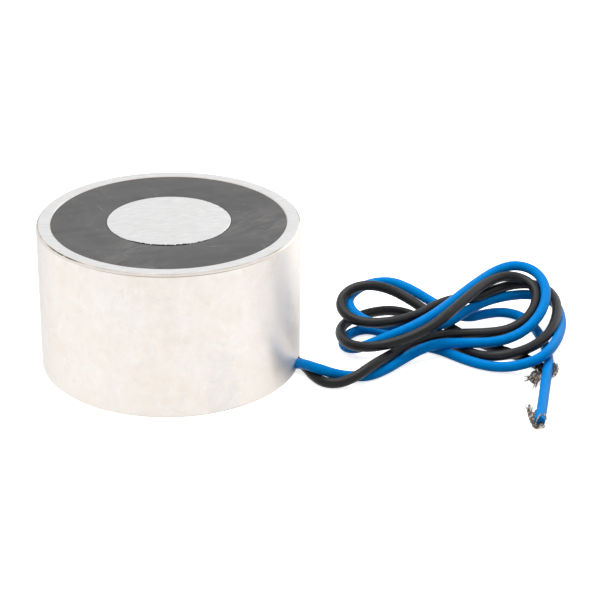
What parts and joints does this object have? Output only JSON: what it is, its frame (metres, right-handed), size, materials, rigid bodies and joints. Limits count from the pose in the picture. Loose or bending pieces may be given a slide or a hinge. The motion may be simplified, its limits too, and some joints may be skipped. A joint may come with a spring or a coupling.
{
  "type": "electro-permanent holding magnet",
  "caption": "Round nickel-plated pot magnet with a centre pole, a black potted coil ring flush with its pole face, a threaded hole in its back and blue and black leads wound in a loose hank.",
  "frame": {"origin": "centre of the pot's back face, where it sits on a surface", "axes": "+Z along the pot's axis, from the back to the pole face; +X through the groove where the leads leave"},
  "size_m": [0.1004, 0.0616, 0.029],
  "materials": {
    "nickel_plate": "satin nickel plate over turned steel",
    "ground_steel": "fine ground",
    "magnet_alloy": "bright nickel plate",
    "bobbin_plastic": "natural nylon",
    "enamelled_copper": "enamelled",
    "insulating_tape": "film tape",
    "potting_resin": "matte ground resin",
    "heat_shrink": "matte",
    "blue_silicone": "soft satin",
    "black_silicone": "soft satin",
    "tinned_copper": "tinned"
  },
  "bodies": {
    "root": {"housing": "nickel_plate", "pole_core": "ground_steel", "permanent_magnet": "magnet_alloy", "coil_bobbin": "bobbin_plastic", "coil_winding": "enamelled_copper", "winding_tape": "insulating_tape", "potting_ring": "potting_resin", "lead_seal": "potting_resin", "blue_splice": "heat_shrink", "black_splice": "heat_shrink", "blue_lead": "blue_silicone", "black_lead": "black_silicone", "lead_hank": "blue_silicone", "blue_tail": "blue_silicone", "blue_strands": "tinned_copper", "black_strands": "tinned_copper"}
  },
  "joints": []
}
